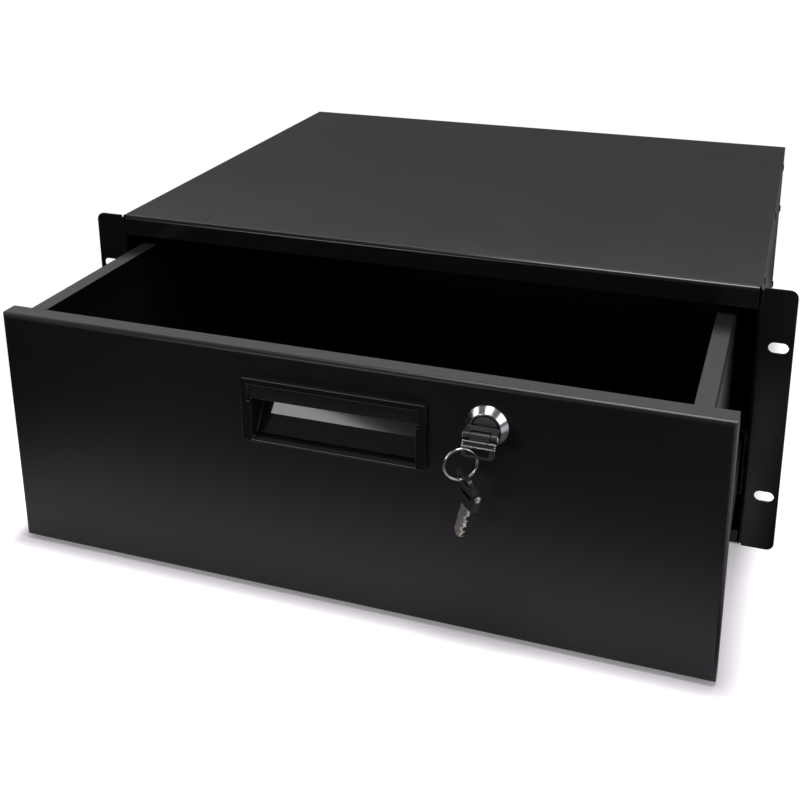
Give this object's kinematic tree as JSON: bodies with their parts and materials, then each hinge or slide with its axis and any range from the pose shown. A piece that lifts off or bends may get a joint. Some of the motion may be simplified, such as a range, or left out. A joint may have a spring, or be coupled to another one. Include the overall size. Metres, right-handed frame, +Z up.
{
  "type": "sliding rack drawer",
  "caption": "Lockable sliding drawer in a steel case with rack ears, on ball-bearing slides, with a recessed pull handle and a cam lock with folding keys.",
  "frame": {"origin": "middle of the four ear slots, on the rear face of the ears that lies against the rack's rails", "axes": "+Z up, +Y to the rear of the rack, +X to the right seen from the front"},
  "size_m": [0.4826, 0.5168, 0.177],
  "materials": {
    "powder_coat": "satin black powder coat with a fine texture",
    "zinc_steel": "bright zinc plate",
    "black_slide": "black electro-coated cold-rolled steel",
    "ball_steel": "polished steel",
    "black_screw": "black coated",
    "abs": "semi-gloss moulded plastic",
    "chrome": "bright chrome plate",
    "nickel": "nickel plate",
    "key_plastic": "moulded black plastic"
  },
  "bodies": {
    "cabinet": {"left_side_panel": "powder_coat", "right_side_panel": "powder_coat", "top_cover": "powder_coat", "bottom_panel": "powder_coat", "rear_panel": "powder_coat", "case_rivets": "black_screw", "left_outer_rail": "black_slide", "right_outer_rail": "black_slide", "outer_rail_screws": "zinc_steel"},
    "drawer": {"drawer_tray": "powder_coat", "drawer_back": "powder_coat", "drawer_front_wall": "powder_coat", "front_panel": "powder_coat", "panel_screws": "zinc_steel", "pull_handle": "abs", "lock_housing": "chrome", "lock_nut": "zinc_steel", "left_inner_rail": "black_slide", "right_inner_rail": "black_slide", "inner_rail_screws": "zinc_steel"},
    "left_middle": {"left_middle_rail": "black_slide"},
    "right_middle": {"right_middle_rail": "black_slide"},
    "lock": {"lock_plug": "nickel", "lock_cam": "zinc_steel", "cam_screw": "zinc_steel"},
    "key": {"key_blade": "nickel", "key_collar": "key_plastic", "key_pin": "nickel"},
    "key_grip": {"key_bow": "key_plastic"},
    "ring": {"key_ring": "nickel"},
    "spare_grip": {"spare_key_bow": "key_plastic"},
    "spare_key": {"spare_key_blade": "nickel", "spare_key_collar": "key_plastic", "spare_key_pin": "nickel"},
    "left_outer_cage_set": {"left_outer_cage": "zinc_steel", "left_outer_balls": "ball_steel"},
    "left_inner_cage_set": {"left_inner_cage": "zinc_steel", "left_inner_balls": "ball_steel"},
    "right_outer_cage_set": {"right_outer_cage": "zinc_steel", "right_outer_balls": "ball_steel"},
    "right_inner_cage_set": {"right_inner_cage": "zinc_steel", "right_inner_balls": "ball_steel"}
  },
  "joints": [
    {"name": "drawer_slide", "type": "slide", "parent": "cabinet", "child": "drawer", "axis": [0, -1, 0], "range_m": [-0.126, 0.164]},
    {"name": "left_middle_slide", "type": "slide", "parent": "cabinet", "child": "left_middle", "axis": [0, -1, 0], "range_m": [-0.063, 0.082]},
    {"name": "left_outer_cage_slide", "type": "slide", "parent": "cabinet", "child": "left_outer_cage_set", "axis": [0, -1, 0], "range_m": [-0.0315, 0.041]},
    {"name": "left_inner_cage_slide", "type": "slide", "parent": "cabinet", "child": "left_inner_cage_set", "axis": [0, -1, 0], "range_m": [-0.0945, 0.123]},
    {"name": "right_middle_slide", "type": "slide", "parent": "cabinet", "child": "right_middle", "axis": [0, -1, 0], "range_m": [-0.063, 0.082]},
    {"name": "right_outer_cage_slide", "type": "slide", "parent": "cabinet", "child": "right_outer_cage_set", "axis": [0, -1, 0], "range_m": [-0.0315, 0.041]},
    {"name": "right_inner_cage_slide", "type": "slide", "parent": "cabinet", "child": "right_inner_cage_set", "axis": [0, -1, 0], "range_m": [-0.0945, 0.123]},
    {"name": "lock_turn", "type": "hinge", "parent": "drawer", "child": "lock", "pos_m": [0.09, -0.141, 0.0457], "axis": [0, 1, 0], "range_deg": [0, 90]},
    {"name": "key_pull", "type": "slide", "parent": "lock", "child": "key", "axis": [0, -1, 0], "range_m": [0, 0.018]},
    {"name": "key_fold", "type": "hinge", "parent": "key", "child": "key_grip", "pos_m": [0.09, -0.1545, 0.0457], "axis": [1, 0, 0], "range_deg": [-60, 8]},
    {"name": "ring_turn", "type": "hinge", "parent": "key_grip", "child": "ring", "pos_m": [0.08141, -0.16162, 0.0319], "axis": [0.5, -0.866, 0], "range_deg": [-50, 15]},
    {"name": "spare_swing", "type": "hinge", "parent": "ring", "child": "spare_grip", "pos_m": [0.08355, -0.16039, 0.0233], "axis": [-0.8325, -0.4806, -0.2756], "range_deg": [-15, 30]},
    {"name": "spare_fold", "type": "hinge", "parent": "spare_grip", "child": "spare_key", "pos_m": [0.08585, -0.15831, 0.0148], "axis": [-0.6691, 0.7431, 0], "range_deg": [-70, 49]}
  ],
  "couplings": [
    {"joint": "left_middle_slide", "follows": "drawer_slide", "ratio": 0.5},
    {"joint": "left_outer_cage_slide", "follows": "drawer_slide", "ratio": 0.25},
    {"joint": "left_inner_cage_slide", "follows": "drawer_slide", "ratio": 0.75},
    {"joint": "right_middle_slide", "follows": "drawer_slide", "ratio": 0.5},
    {"joint": "right_outer_cage_slide", "follows": "drawer_slide", "ratio": 0.25},
    {"joint": "right_inner_cage_slide", "follows": "drawer_slide", "ratio": 0.75}
  ]
}
